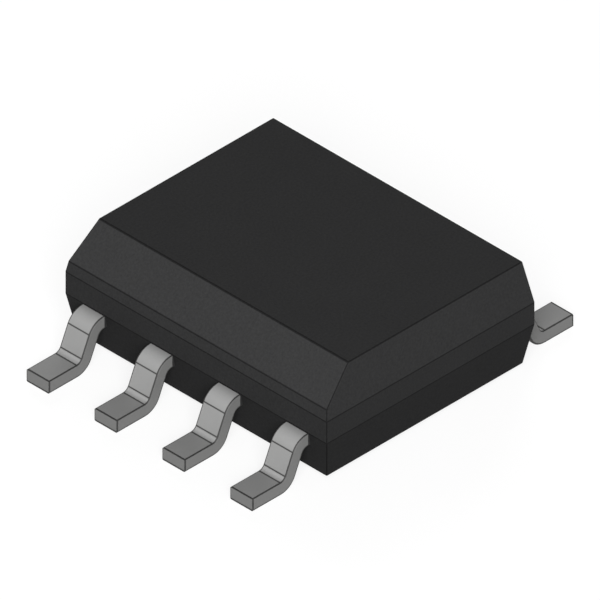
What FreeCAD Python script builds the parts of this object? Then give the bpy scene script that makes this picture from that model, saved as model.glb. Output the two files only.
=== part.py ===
# Eight-lead small-outline integrated circuit for surface mounting.
#
# A drafted body of moulded epoxy is cast round a stamped leadframe, a silicon die and its bond wires.
# The cavities in the body therefore have exactly the shape of what they hold, and each lead leaves it
# through a wall that closes on the lead all round.
#
# Units are millimetres. The origin is the centre of the seating plane, which the feet touch, and +Z is up.
# The rows of leads run along Y. Leads 1 to 4 are on the -X side, under the long bevel, and count
# towards -Y. Leads 5 to 8 are on the +X side and count back towards +Y.
import FreeCAD, Part
import math
import os

from FreeCAD import Vector

# Rows of leads
LEADS_PER_ROW = 4
PITCH = 1.27
LEAD_WIDTH = 0.42
LEAD_THICKNESS = 0.20
LEAD_SPAN = 6.00  # from toe to toe across the rows
LEG_ANGLE = math.radians(66)  # of the sloping leg above the seating plane
BEND_RADIUS = 0.10  # on the inside of each bend
SHOULDER_FLAT = 0.022  # from the body's wall to the upper bend
LEAD_EDGE_BREAK = 0.012  # taken off a lead's long edges

# Moulded body
BODY_WIDTH = 3.90  # across the rows, at the band
END_COVER = 0.335  # compound past the outermost leads, at the band
STANDOFF = 0.10  # from the seating plane to the body
LOWER_HEIGHT = 0.64  # from the body's underside to the band
BAND_HEIGHT = 0.35
UPPER_HEIGHT = 0.66  # from the band to the top
DRAFT_ANGLE = math.radians(10)  # of the walls above and below the band
BEVEL_LEG = 0.4925  # of the 45-degree bevel that marks the side of lead 1
BODY_EDGE_RADIUS = 0.02
EJECTOR_DIAMETER = 0.90  # of the mark that the mould's ejector pin leaves underneath
EJECTOR_DEPTH = 0.02

# Leadframe inside the body
LEAD_EMBED = 0.60  # from the body's wall to the tip of a middle lead
NECK_LENGTH = 0.17  # of straight lead behind the wall
HEAD_WIDTH = 0.64  # of a middle lead's tip, for bonding and to lock it in the compound
LEAD_JOG = 0.305  # of an outermost lead towards the paddle
JOG_ANGLE = math.radians(45)
FRAME_GAP = 0.20  # between neighbours in the frame
PADDLE_DOWNSET = 0.15
PADDLE_CORNER_RADIUS = 0.06
TIE_BAR_WIDTH = 0.40
TIE_BAR_ANGLE = math.radians(40)  # of its rise out of the downset
TIE_BAR_COVER = 0.12  # compound over the end of a tie bar

# Die and its bond wires
DIE_SETBACK_X = 0.40  # from the paddle's edge to the die's
DIE_SETBACK_Y = 0.30
DIE_THICKNESS = 0.25
ATTACH_THICKNESS = 0.02
ATTACH_MARGIN = 0.06  # of the adhesive round the die
ATTACH_CLIMB = 0.05  # of the adhesive up the die's sides
PAD_SIZE = 0.10
PAD_HEIGHT = 0.003
PAD_INSET = 0.09  # from the die's edge to a pad's middle
SIDE_PAD_Y = 0.30  # of the pads that serve the middle leads
END_PAD_X = 0.45  # of the pads that serve the outermost leads
WIRE_DIAMETER = 0.03
WIRE_SIDES = 8  # of its section, which is as good as round at this size
BALL_DIAMETER = 0.08
BALL_HEIGHT = 0.024
LOOP_RISE = 0.12  # from the pad to the bend in the wire
LOOP_RADIUS = 0.08
LOOP_STEPS = 4  # straight lengths that follow the bend
STITCH_LENGTH = 0.10
STITCH_WIDTH = 0.08  # where the wire is squashed most
STITCH_THICKNESS = 0.01
BOND_INSET = 0.12  # from a lead's edge to its stitch bond
ARM_BOND_INSET = 0.20  # from the end of an outermost lead's arm to its stitch bond

# Levels
LEAD_TOP = STANDOFF + LOWER_HEIGHT  # the mould parts along the leads' upper face, where the band starts
LEAD_UNDER = LEAD_TOP - LEAD_THICKNESS
BAND_TOP = LEAD_TOP + BAND_HEIGHT
BODY_TOP = BAND_TOP + UPPER_HEIGHT
PADDLE_TOP = LEAD_TOP - PADDLE_DOWNSET
DIE_BOTTOM = PADDLE_TOP + ATTACH_THICKNESS
DIE_TOP = DIE_BOTTOM + DIE_THICKNESS
PAD_TOP = DIE_TOP + PAD_HEIGHT

# Plan
WALL_X = BODY_WIDTH / 2
OUTER_LEAD_Y = (LEADS_PER_ROW - 1) * PITCH / 2
WALL_Y = OUTER_LEAD_Y + LEAD_WIDTH / 2 + END_COVER
NECK_X = WALL_X - NECK_LENGTH
LEAD_TIP_X = WALL_X - LEAD_EMBED
PADDLE_X = LEAD_TIP_X - FRAME_GAP
ARM_TIP_X = TIE_BAR_WIDTH / 2 + FRAME_GAP
ARM_EDGE_Y = OUTER_LEAD_Y - LEAD_JOG - LEAD_WIDTH / 2
PADDLE_Y = ARM_EDGE_Y - FRAME_GAP
DIE_X = PADDLE_X - DIE_SETBACK_X
DIE_Y = PADDLE_Y - DIE_SETBACK_Y

UP = Vector(0, 0, 1)
SAME = 1e-6  # below this, two lengths count as equal
PAST = 0.1  # how far a cutting tool reaches past what it cuts


def slab(half_x, half_y, z_low, z_high):
    """Block centred on the Z axis, between two levels."""
    corner = Vector(-half_x, -half_y, z_low)
    return Part.makeBox(2 * half_x, 2 * half_y, z_high - z_low, corner)


def prism(points, along):
    """Solid that a closed outline of straight edges sweeps out along a vector."""
    outline = Part.makePolygon([*points, points[0]])
    return Part.Face(outline).extrude(along)


def edges_where(solid, test):
    return [edge for edge in solid.Edges if test(edge)]


def is_at_level(edge, level):
    return all(abs(vertex.Z - level) < SAME for vertex in edge.Vertexes)


# Moulded body


def wall_profile(half_width):
    """Outline of a wall as (distance from the middle of the body, level), from the underside up."""
    slope = math.tan(DRAFT_ANGLE)
    return [
        (half_width - LOWER_HEIGHT * slope, STANDOFF),
        (half_width, LEAD_TOP),
        (half_width, BAND_TOP),
        (half_width - UPPER_HEIGHT * slope, BODY_TOP),
    ]


def bevelled_profile(half_width):
    """The same outline with its top corner cut back at 45 degrees."""
    *below, _ = wall_profile(half_width)
    bevel_foot = half_width - (UPPER_HEIGHT - BEVEL_LEG) * math.tan(DRAFT_ANGLE)
    return [*below, (bevel_foot, BODY_TOP - BEVEL_LEG), (bevel_foot - BEVEL_LEG, BODY_TOP)]


def body_block():
    """Drafted block: what two crossing prisms have in common, one drawn along each horizontal axis."""
    bevel_side = [Vector(-x, -WALL_Y, z) for x, z in bevelled_profile(WALL_X)]
    plain_side = [Vector(x, -WALL_Y, z) for x, z in wall_profile(WALL_X)]
    lengthwise = prism([*bevel_side, *reversed(plain_side)], Vector(0, 2 * WALL_Y, 0))
    near_end = [Vector(-WALL_X, -y, z) for y, z in wall_profile(WALL_Y)]
    far_end = [Vector(-WALL_X, y, z) for y, z in wall_profile(WALL_Y)]
    crosswise = prism([*near_end, *reversed(far_end)], Vector(2 * WALL_X, 0, 0))
    return lengthwise.common(crosswise)


def is_rounded_edge(edge):
    """True for all of the block's edges but the shallow creases along the top and bottom of the band."""
    return not (is_at_level(edge, LEAD_TOP) or is_at_level(edge, BAND_TOP))


def mould_body(held):
    """Body with small rounds and an ejector mark, cast round the pieces that it holds."""
    block = body_block()
    rounded = block.makeFillet(BODY_EDGE_RADIUS, edges_where(block, is_rounded_edge))
    mark_start = Vector(0, 0, STANDOFF - PAST)
    mark = Part.makeCylinder(EJECTOR_DIAMETER / 2, PAST + EJECTOR_DEPTH, mark_start)
    return rounded.cut([mark, *held])


# Leads, drawn in the +X row about the line y = 0


def on_arc(centre, radius, angle):
    """Point of an arc in the XZ plane, by the angle from straight up.

    With a negative radius the angle counts from straight down.
    """
    return centre + radius * Vector(math.sin(angle), 0, math.cos(angle))


def bend(centre, radius, start_angle, end_angle):
    middle_angle = (start_angle + end_angle) / 2
    return Part.Arc(*[on_arc(centre, radius, a) for a in (start_angle, middle_angle, end_angle)]).toShape()


def is_long_edge(edge):
    """True for the edges that run along a strip, and so neither across it nor up its cut ends."""
    start, end = edge.Vertexes
    return abs(start.Y - end.Y) < SAME and abs(start.X - end.X) > SAME


def bend_centres():
    """Centres of the bends at the shoulder and the foot.

    The leg's length is whatever brings a strip that starts level with the shoulder down to the seating
    plane. Along the leg the centres are that length apart, and across it the two bend radii and the
    strip's thickness.
    """
    outside = BEND_RADIUS + LEAD_THICKNESS
    across = BEND_RADIUS + outside
    shoulder = Vector(WALL_X + SHOULDER_FLAT, 0, LEAD_TOP - outside)
    drop = shoulder.z - outside
    leg = (drop + across * math.cos(LEG_ANGLE)) / math.sin(LEG_ANGLE)
    foot_x = shoulder.x + leg * math.cos(LEG_ANGLE) + across * math.sin(LEG_ANGLE)
    return shoulder, Vector(foot_x, 0, outside)


def gull_wing():
    """Strip from the neck to the toe: flat shoulder, sloping leg between two bends, and flat foot."""
    shoulder, foot = bend_centres()
    outside = BEND_RADIUS + LEAD_THICKNESS
    neck_top = Vector(NECK_X, 0, LEAD_TOP)
    neck_under = Vector(NECK_X, 0, LEAD_UNDER)
    toe_top = Vector(LEAD_SPAN / 2, 0, LEAD_THICKNESS)
    toe_under = Vector(LEAD_SPAN / 2, 0, 0)
    upper_face = [
        Part.makeLine(neck_top, on_arc(shoulder, outside, 0)),
        bend(shoulder, outside, 0, LEG_ANGLE),
        Part.makeLine(on_arc(shoulder, outside, LEG_ANGLE), on_arc(foot, -BEND_RADIUS, LEG_ANGLE)),
        bend(foot, -BEND_RADIUS, LEG_ANGLE, 0),
        Part.makeLine(on_arc(foot, -BEND_RADIUS, 0), toe_top),
    ]
    under_face = [
        Part.makeLine(toe_under, on_arc(foot, -outside, 0)),
        bend(foot, -outside, 0, LEG_ANGLE),
        Part.makeLine(on_arc(foot, -outside, LEG_ANGLE), on_arc(shoulder, BEND_RADIUS, LEG_ANGLE)),
        bend(shoulder, BEND_RADIUS, LEG_ANGLE, 0),
        Part.makeLine(on_arc(shoulder, BEND_RADIUS, 0), neck_under),
    ]
    toe = Part.makeLine(toe_top, toe_under)
    neck_end = Part.makeLine(neck_under, neck_top)
    side = Part.Face(Part.Wire([*upper_face, toe, *under_face, neck_end]))
    side.translate(Vector(0, -LEAD_WIDTH / 2, 0))
    strip = side.extrude(Vector(0, LEAD_WIDTH, 0))
    return strip.makeChamfer(LEAD_EDGE_BREAK, edges_where(strip, is_long_edge))


def middle_head():
    """Outline of the widened tip of a middle lead."""
    half = HEAD_WIDTH / 2
    return [(NECK_X, -half), (NECK_X, half), (LEAD_TIP_X, half), (LEAD_TIP_X, -half)]


def outermost_arm():
    """Outline of an outermost lead inside the body, where it jogs towards +y and runs on past the paddle.

    Each side's corners are shifted along the strip so that its width stays the same through the jog.
    """
    half = LEAD_WIDTH / 2
    shift = half * math.tan(JOG_ANGLE / 2)
    first_x = NECK_X - shift
    second_x = first_x - LEAD_JOG / math.tan(JOG_ANGLE)
    return [
        (NECK_X, -half),
        (NECK_X, half),
        (second_x - shift, LEAD_JOG + half),
        (ARM_TIP_X, LEAD_JOG + half),
        (ARM_TIP_X, LEAD_JOG - half),
        (second_x + shift, LEAD_JOG - half),
        (first_x - shift, -half),
    ]


def lead(inner_outline):
    """Gull wing in one piece with its flat part inside the body."""
    inner = prism([Vector(x, y, LEAD_UNDER) for x, y in inner_outline], LEAD_THICKNESS * UP)
    return inner.fuse(gull_wing()).removeSplitter()


# Paddle, die and wires


def tie_bar():
    """Formed strip that rises from the paddle's level to the leads' level and ends under the +Y wall."""
    shift = LEAD_THICKNESS * math.tan(TIE_BAR_ANGLE / 2)
    ramp_end = PADDLE_Y + PADDLE_DOWNSET / math.tan(TIE_BAR_ANGLE)
    end = WALL_Y - TIE_BAR_COVER
    top = [(0, PADDLE_TOP), (PADDLE_Y, PADDLE_TOP), (ramp_end, LEAD_TOP), (end, LEAD_TOP)]
    under = [
        (end, LEAD_UNDER),
        (ramp_end + shift, LEAD_UNDER),
        (PADDLE_Y + shift, PADDLE_TOP - LEAD_THICKNESS),
        (0, PADDLE_TOP - LEAD_THICKNESS),
    ]
    points = [Vector(-TIE_BAR_WIDTH / 2, y, z) for y, z in [*top, *under]]
    return prism(points, Vector(TIE_BAR_WIDTH, 0, 0))


def half_turn(shape):
    """Copy of a shape on the far side of the Z axis."""
    return shape.rotated(Vector(0, 0, 0), UP, 180)


def is_upright(edge):
    start, end = edge.Vertexes
    return abs(start.Z - end.Z) > SAME


def die_paddle():
    plate = slab(PADDLE_X, PADDLE_Y, PADDLE_TOP - LEAD_THICKNESS, PADDLE_TOP)
    rounded = plate.makeFillet(PADDLE_CORNER_RADIUS, edges_where(plate, is_upright))
    bar = tie_bar()
    return rounded.fuse([bar, half_turn(bar)]).removeSplitter()


def mirrored_y(place):
    return Vector(place.x, -place.y, place.z)


def bond_places():
    """Plan places of the pad and the stitch bond for each lead of the +X row, from -Y to +Y."""
    end_pad = Vector(END_PAD_X, DIE_Y - PAD_INSET, 0)
    end_stitch = Vector(ARM_TIP_X + ARM_BOND_INSET, ARM_EDGE_Y + BOND_INSET, 0)
    side_pad = Vector(DIE_X - PAD_INSET, SIDE_PAD_Y, 0)
    side_stitch = Vector(LEAD_TIP_X + BOND_INSET, PITCH / 2, 0)
    far_half = [(side_pad, side_stitch), (end_pad, end_stitch)]
    near_half = [(mirrored_y(pad), mirrored_y(stitch)) for pad, stitch in reversed(far_half)]
    return near_half + far_half


def silicon_die():
    """Die with its bond pads standing a little above the rest of its face."""
    die = slab(DIE_X, DIE_Y, DIE_BOTTOM, DIE_TOP)
    pads = []
    for place, _ in bond_places():
        pad = slab(PAD_SIZE / 2, PAD_SIZE / 2, DIE_TOP, PAD_TOP)
        pad.translate(place)
        pads += [pad, half_turn(pad)]
    return die.fuse(pads)


def die_attach():
    """Adhesive under the die, squeezed out round it and drawn up its sides."""
    top = DIE_BOTTOM + ATTACH_CLIMB
    bed = slab(DIE_X + ATTACH_MARGIN, DIE_Y + ATTACH_MARGIN, PADDLE_TOP, top)
    sloped = bed.makeChamfer(ATTACH_CLIMB, edges_where(bed, lambda edge: is_at_level(edge, top)))
    return sloped.cut(slab(DIE_X, DIE_Y, DIE_BOTTOM, DIE_TOP))


def ball_bond():
    """Squashed ball on a pad: the middle slice of a sphere."""
    radius = BALL_DIAMETER / 2
    slice_angle = math.degrees(math.asin(BALL_HEIGHT / 2 / radius))
    centre = Vector(0, 0, PAD_TOP + BALL_HEIGHT / 2)
    return Part.makeSphere(radius, centre, UP, -slice_angle, slice_angle, 360)


def loop_path(reach):
    """Points of the wire's centre line in the XZ plane, from inside the ball to just under the lead's face.

    It goes straight up, round the bend and then down a straight slope, which leaves the bend as a tangent
    and meets the lead's upper face at the given reach. The bend's points lie outside its arc, where the
    tangents at the ends of its steps cross.
    """
    centre = Vector(LOOP_RADIUS, 0, PAD_TOP + LOOP_RISE)
    target = Vector(reach, 0, LEAD_TOP)
    to_target = target - centre
    slope = math.atan2(-to_target.z, to_target.x) + math.asin(LOOP_RADIUS / to_target.Length)
    upward = math.radians(-90)
    step = (slope - upward) / LOOP_STEPS
    corner_radius = LOOP_RADIUS / math.cos(step / 2)
    corners = [on_arc(centre, corner_radius, upward + (i + 0.5) * step) for i in range(LOOP_STEPS)]
    foot = Vector(0, 0, PAD_TOP + BALL_HEIGHT / 2)
    run_out = target + WIRE_DIAMETER * Vector(math.cos(slope), 0, -math.sin(slope))
    return [foot, *corners, run_out]


def wire_section(centre):
    """Level outline of the wire, with its corners on the wire's diameter."""
    turn = 2 * math.pi / WIRE_SIDES
    corners = []
    for i in range(WIRE_SIDES + 1):
        angle = (i % WIRE_SIDES + 0.5) * turn
        corners.append(centre + WIRE_DIAMETER / 2 * Vector(math.cos(angle), math.sin(angle), 0))
    return Part.makePolygon(corners)


def stitch_bond(reach):
    """End of the wire where the tool squashes it on to the lead, widest in its middle like a fish's tail."""
    back = reach - STITCH_LENGTH / 2
    front = reach + STITCH_LENGTH / 2
    outline = [
        (back, WIRE_DIAMETER / 2),
        (reach, STITCH_WIDTH / 2),
        (front, STITCH_WIDTH / 4),
        (front, -STITCH_WIDTH / 4),
        (reach, -STITCH_WIDTH / 2),
        (back, -WIRE_DIAMETER / 2),
    ]
    return prism([Vector(x, y, LEAD_TOP) for x, y in outline], STITCH_THICKNESS * UP)


def bond_wire(pad, stitch):
    """Gold wire from a ball bond on a pad to a stitch bond on a lead.

    It is drawn with its ball on the Z axis and its stitch along +X, and then put over the pad.
    """
    reach = pad.distanceToPoint(stitch)
    points = loop_path(reach)
    mitred = 1
    loop = Part.makePolygon(points).makePipeShell([wire_section(points[0])], True, False, mitred)
    wire = loop.fuse([ball_bond(), stitch_bond(reach)]).cut(slab(WALL_X, WALL_Y, STANDOFF, LEAD_TOP))
    direction = stitch - pad
    turned = wire.rotated(Vector(0, 0, 0), UP, math.degrees(math.atan2(direction.y, direction.x)))
    return turned.translated(pad)


def both_rows(name, shapes):
    """Names for the shapes of the +X row, from -Y to +Y, and for their half-turned copies in the -X row."""
    nodes = {}
    for number, shape in enumerate(shapes, start=1):
        nodes[f"{name}_{number}"] = half_turn(shape)
        nodes[f"{name}_{LEADS_PER_ROW + number}"] = shape
    return nodes


def row_of_leads():
    outermost = lead(outermost_arm())
    middle = lead(middle_head())
    near_half = [
        outermost.translated(Vector(0, -OUTER_LEAD_Y, 0)),
        middle.translated(Vector(0, -PITCH / 2, 0)),
    ]
    far_half = [shape.mirror(Vector(0, 0, 0), Vector(0, 1, 0)) for shape in reversed(near_half)]
    return near_half + far_half


def solid_of(shape):
    """The one solid that a finished piece must be."""
    assert len(shape.Solids) == 1 and shape.isValid()
    return shape.Solids[0]


def all_nodes():
    nodes = {"die_paddle": die_paddle(), "die_attach": die_attach(), "silicon_die": silicon_die()}
    nodes.update(both_rows("lead", row_of_leads()))
    nodes.update(both_rows("bond_wire", [bond_wire(pad, stitch) for pad, stitch in bond_places()]))
    nodes["mould_body"] = mould_body(list(nodes.values()))
    return {name: solid_of(shape) for name, shape in nodes.items()}


os.makedirs("parts", exist_ok=True)
for name, solid in all_nodes().items():
    solid.exportStep(f"parts/{name}.step")
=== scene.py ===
# %% [markdown]
# # An eight-lead small-outline chip
#
# This lesson dresses a chip package for a studio picture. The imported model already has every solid: the
# leads, the moulded body, and inside it the die with its adhesive, its paddle and its bond wires. We light
# them, give each one the finish of its real material, and swap the faceted bond wires for smooth ones.
#
# The picture that we work towards is a drawing, with even greys and a dark line along each edge. So in a few
# places the finish is stronger than on most real chips, and the text says where.
#
# Everything is in metres, so the chip is only six thousandths across. +Z is up, the feet touch z = 0, and the
# bevelled side with lead 1 faces -X.

# %% Load the frame
from math import cos, radians, sin, tan

import bpy
import numpy as np
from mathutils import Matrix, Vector


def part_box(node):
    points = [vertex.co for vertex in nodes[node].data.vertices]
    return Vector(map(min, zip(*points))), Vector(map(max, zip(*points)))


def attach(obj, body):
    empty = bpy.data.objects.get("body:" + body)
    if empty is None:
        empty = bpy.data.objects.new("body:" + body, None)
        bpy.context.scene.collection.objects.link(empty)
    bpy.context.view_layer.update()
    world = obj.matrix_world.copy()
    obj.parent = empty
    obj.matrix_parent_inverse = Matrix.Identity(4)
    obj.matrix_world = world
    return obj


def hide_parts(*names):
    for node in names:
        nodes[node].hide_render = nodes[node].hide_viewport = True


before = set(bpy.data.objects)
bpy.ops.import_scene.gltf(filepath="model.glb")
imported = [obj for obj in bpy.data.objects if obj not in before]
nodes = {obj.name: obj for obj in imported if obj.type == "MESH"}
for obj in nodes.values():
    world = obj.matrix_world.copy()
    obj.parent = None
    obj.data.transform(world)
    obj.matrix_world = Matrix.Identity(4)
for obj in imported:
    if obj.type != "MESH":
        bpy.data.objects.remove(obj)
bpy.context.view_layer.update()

MM = 0.001

# %% [markdown]
# ## A small kit for shader trees
#
# A material is a graph of nodes. Written out by hand, each node takes four or five lines, and the idea gets
# lost among them. A few helpers keep each step on one line. `add` makes a node and fills its sockets, where a
# socket of another node is linked and anything else is set as a constant. `calculate`, `remap` and
# `blend_colour` do that for the nodes that are used most, and return their output. `principled` starts a
# material that has one Principled BSDF, which every finish of the chip uses.

# %% Shader helpers


def feed(tree, socket, value):
    """Links an output socket to this input, or sets a constant on it."""
    if isinstance(value, bpy.types.NodeSocket):
        tree.links.new(value, socket)
    else:
        socket.default_value = value


def fill(tree, node, **sockets):
    """Feeds some inputs of a node, each by its name with _ for a space."""
    for name, value in sockets.items():
        feed(tree, node.inputs[name.replace("_", " ")], value)


def add(tree, kind, settings=None, **sockets):
    """Adds a node. settings are its own properties, and the rest are its sockets, as for fill."""
    node = tree.nodes.new(kind)
    for name, value in (settings or {}).items():
        setattr(node, name, value)
    fill(tree, node, **sockets)
    return node


def calculate(tree, operation, first, second=0.0, third=0.0):
    """Output of a Math node on one, two or three values or sockets."""
    node = tree.nodes.new("ShaderNodeMath")
    node.operation = operation
    for socket, value in zip(node.inputs, (first, second, third)):
        feed(tree, socket, value)
    return node.outputs["Value"]


def largest(tree, first, *others):
    """Largest of some values or sockets."""
    for other in others:
        first = calculate(tree, "MAXIMUM", first, other)
    return first


def smallest(tree, first, *others):
    """Smallest of some values or sockets."""
    for other in others:
        first = calculate(tree, "MINIMUM", first, other)
    return first


def remap(tree, value, low, high, to_low=0.0, to_high=1.0):
    """Output that goes smoothly from to_low to to_high while value goes from low to high."""
    limits = {"From_Min": low, "From_Max": high, "To_Min": to_low, "To_Max": to_high}
    node = add(tree, "ShaderNodeMapRange", {"interpolation_type": "SMOOTHSTEP"}, Value=value, **limits)
    return node.outputs["Result"]


def blend_colour(tree, factor, first, second):
    """Colour that goes from first to second as factor goes from 0 to 1.

    The Mix node has sockets for numbers, vectors and colours. Its factor is input 0, its colours are inputs 6
    and 7, and the mixed colour is output 2.
    """
    node = add(tree, "ShaderNodeMix", {"data_type": "RGBA"})
    for socket, value in zip((node.inputs[0], node.inputs[6], node.inputs[7]), (factor, first, second)):
        feed(tree, socket, value)
    return node.outputs[2]


def principled(name, **sockets):
    """New material with one Principled BSDF. Returns it, its tree, the shader and Object coordinates."""
    material = bpy.data.materials.new(name)
    material.use_nodes = True
    tree = material.node_tree
    shader = tree.nodes["Principled BSDF"]
    fill(tree, shader, **sockets)
    place = add(tree, "ShaderNodeTexCoord").outputs["Object"]
    return material, tree, shader, place


def grey(value):
    """Colour with the same red, green and blue."""
    return (value, value, value, 1.0)


def report(material):
    """Prints what a finish cell made."""
    print(material.name, "nodes:", len(material.node_tree.nodes))


print("helpers:", [helper.__name__ for helper in (add, calculate, remap, blend_colour, principled)])

# %% [markdown]
# ## Effects that several finishes share
#
# Up close, nothing on a chip is perfectly even. Three effects cover it, and each is a node group that is
# built once and placed in each material with its own numbers:
#
# - **grain** is the fine relief of a surface: spark-eroded moulding compound, plated tin, filled adhesive.
#   It gives a height for a Bump node, from noise that can be stretched along one direction for rolled metal.
# - **patchy** is a slow drift of a value over the surface, such as a gloss that differs a little from place
#   to place. It takes the middle value and the spread.
# - **near** is a soft mask round a level, such as the parting line of a mould.

# %% Shared groups


def new_group(name, inputs, outputs):
    """Empty node group with named sockets. Returns its tree, its input node and its output node."""
    tree = bpy.data.node_groups.new(name, "ShaderNodeTree")
    for label, kind, default in inputs:
        socket = tree.interface.new_socket(label, in_out="INPUT", socket_type=kind)
        if default is not None:
            socket.default_value = default
    for label, kind in outputs:
        tree.interface.new_socket(label, in_out="OUTPUT", socket_type=kind)
    return tree, tree.nodes.new("NodeGroupInput"), tree.nodes.new("NodeGroupOutput")


def noise_of_size(tree, place, size, detail, roughness):
    """Noise from 0 to 1 whose lumps are about as wide as size."""
    per_metre = calculate(tree, "DIVIDE", 1.0, size)
    sockets = {"Vector": place, "Scale": per_metre, "Detail": detail, "Roughness": roughness}
    return add(tree, "ShaderNodeTexNoise", **sockets).outputs["Fac"]


def grain_group():
    """Height = noise at a grain size, over the place divided by a stretch along each axis."""
    inputs = [
        ("Place", "NodeSocketVector", None),
        ("Grain Size", "NodeSocketFloat", 0.02 * MM),
        ("Stretch", "NodeSocketVector", (1.0, 1.0, 1.0)),
    ]
    tree, given, result = new_group("grain", inputs, [("Height", "NodeSocketFloat")])
    divide = add(tree, "ShaderNodeVectorMath", {"operation": "DIVIDE"})
    feed(tree, divide.inputs[0], given.outputs["Place"])
    feed(tree, divide.inputs[1], given.outputs["Stretch"])
    place = divide.outputs["Vector"]
    noise = noise_of_size(tree, place, given.outputs["Grain Size"], detail=2.0, roughness=0.55)
    fill(tree, result, Height=noise)
    return tree


def patchy_group():
    """Value = middle + spread * (slow noise - 0.5) * 2."""
    inputs = [
        ("Place", "NodeSocketVector", None),
        ("Patch Size", "NodeSocketFloat", 1.0 * MM),
        ("Middle", "NodeSocketFloat", 0.5),
        ("Spread", "NodeSocketFloat", 0.05),
    ]
    tree, given, result = new_group("patchy", inputs, [("Value", "NodeSocketFloat")])
    place = given.outputs["Place"]
    noise = noise_of_size(tree, place, given.outputs["Patch Size"], detail=3.0, roughness=0.6)
    signed = calculate(tree, "MULTIPLY_ADD", noise, 2.0, -1.0)
    value = calculate(tree, "MULTIPLY_ADD", signed, given.outputs["Spread"], given.outputs["Middle"])
    fill(tree, result, Value=value)
    return tree


def near_group():
    """Mask = 1 where the value is at the level, falling to 0 at the reach away from it."""
    inputs = [
        ("Value", "NodeSocketFloat", 0.0),
        ("Level", "NodeSocketFloat", 0.0),
        ("Reach", "NodeSocketFloat", 0.05 * MM),
    ]
    tree, given, result = new_group("near", inputs, [("Mask", "NodeSocketFloat")])
    over_level = calculate(tree, "SUBTRACT", given.outputs["Value"], given.outputs["Level"])
    away = calculate(tree, "ABSOLUTE", over_level)
    fill(tree, result, Mask=remap(tree, away, 0.0, given.outputs["Reach"], 1.0, 0.0))
    return tree


GRAIN = grain_group()
PATCHY = patchy_group()
NEAR = near_group()


def use(tree, group, **sockets):
    """Places a group in a material and returns its only output."""
    return add(tree, "ShaderNodeGroup", {"node_tree": group}, **sockets).outputs[0]


def drifting_tint(tree, place, patch_size, tints):
    """Colour that drifts from one tint to the other and back, over patches of a size."""
    drift = use(tree, PATCHY, Place=place, Patch_Size=patch_size, Middle=0.5, Spread=0.5)
    return blend_colour(tree, drift, *tints)


def relief(tree, shader, height, depth, strength):
    """Feeds a height, in units of depth, to the shader's normal."""
    bump = add(tree, "ShaderNodeBump", Height=height, Distance=depth, Strength=strength)
    fill(tree, shader, Normal=bump.outputs["Normal"])


print("groups:", sorted(g.name for g in bpy.data.node_groups))

# %% [markdown]
# ## Where the body's walls meet
#
# The body is a drafted block: a straight band round the middle, walls that lean in by ten degrees above and
# below it, and a bevel along the side of lead 1. Its greys and its edges depend on where a point lies between
# those walls, so we work that out first, from Object coordinates alone.
#
# The inset of a wall at a height is the draft's slope times how far the height is outside the band. Then the
# depth of a point inside a wall is what is left of the half-width after the inset. A point on the wall has
# depth zero, and where two depths are small at once we are at a corner. The larger of the two is a measure of
# the distance to the corner that needs no square root. Where a wall only changes its slope, as at both ends
# of the band and at the foot of the bevel, the line is found by its height alone.

# %% The body's walls and edges
BODY_LOW, BODY_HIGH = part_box("mould_body")
UNDERSIDE, TOP = BODY_LOW[2], BODY_HIGH[2]
PARTING_LEVEL = 0.74 * MM
BAND_TOP = 1.09 * MM
DRAFT_SLOPE = tan(radians(10))
BEVEL_LEG = 0.4925 * MM
BEVEL_FOOT_LEVEL = TOP - BEVEL_LEG
BEVEL_FOOT_X = BODY_LOW[0] + DRAFT_SLOPE * (BEVEL_FOOT_LEVEL - BAND_TOP)
BEVEL_RISE = BEVEL_FOOT_LEVEL - BEVEL_FOOT_X
EDGE_ROUND = 0.02 * MM
CORNER_FULL = 0.4 * EDGE_ROUND
LINE_REACH = 0.9 * EDGE_ROUND


def depths_in_walls(tree, x, y, z):
    """Depths of the point inside the side walls, the end walls and the bevel, each measured level."""
    above = calculate(tree, "SUBTRACT", z, BAND_TOP)
    below = calculate(tree, "SUBTRACT", PARTING_LEVEL, z)
    outside = largest(tree, above, below, 0.0)
    side = calculate(tree, "SUBTRACT", BODY_HIGH[0], calculate(tree, "ABSOLUTE", x))
    end = calculate(tree, "SUBTRACT", BODY_HIGH[1], calculate(tree, "ABSOLUTE", y))
    side = calculate(tree, "MULTIPLY_ADD", outside, -DRAFT_SLOPE, side)
    end = calculate(tree, "MULTIPLY_ADD", outside, -DRAFT_SLOPE, end)
    bevel = calculate(tree, "SUBTRACT", BEVEL_RISE, calculate(tree, "SUBTRACT", z, x))
    return side, end, bevel


def corner(tree, first, second):
    """Mask = 1 where both depths are small."""
    return remap(tree, largest(tree, first, second), CORNER_FULL, EDGE_ROUND, 1.0, 0.0)


def level_line(tree, z, level):
    """Mask = 1 on a level line round the body, falling to 0 just above and below it."""
    return use(tree, NEAR, Value=z, Level=level, Reach=LINE_REACH)


def body_edges(tree, x, z, side, end, bevel):
    """Mask of every edge of the body: the strongest of its corners and level lines."""
    low_side = smallest(tree, side, end)
    high_side = smallest(tree, low_side, bevel)
    under_top = calculate(tree, "SUBTRACT", TOP, z)
    over_underside = calculate(tree, "SUBTRACT", z, UNDERSIDE)
    on_bevel_side = remap(tree, x, BEVEL_FOOT_X + 2 * EDGE_ROUND, BEVEL_FOOT_X + EDGE_ROUND)
    return largest(
        tree,
        corner(tree, end, smallest(tree, side, bevel)),
        corner(tree, under_top, high_side),
        corner(tree, over_underside, low_side),
        calculate(tree, "MULTIPLY", level_line(tree, z, BEVEL_FOOT_LEVEL), on_bevel_side),
        level_line(tree, z, PARTING_LEVEL),
        level_line(tree, z, BAND_TOP),
    )


print("bevel foot in mm:", round(BEVEL_FOOT_X / MM, 4), round(BEVEL_FOOT_LEVEL / MM, 4))

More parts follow.
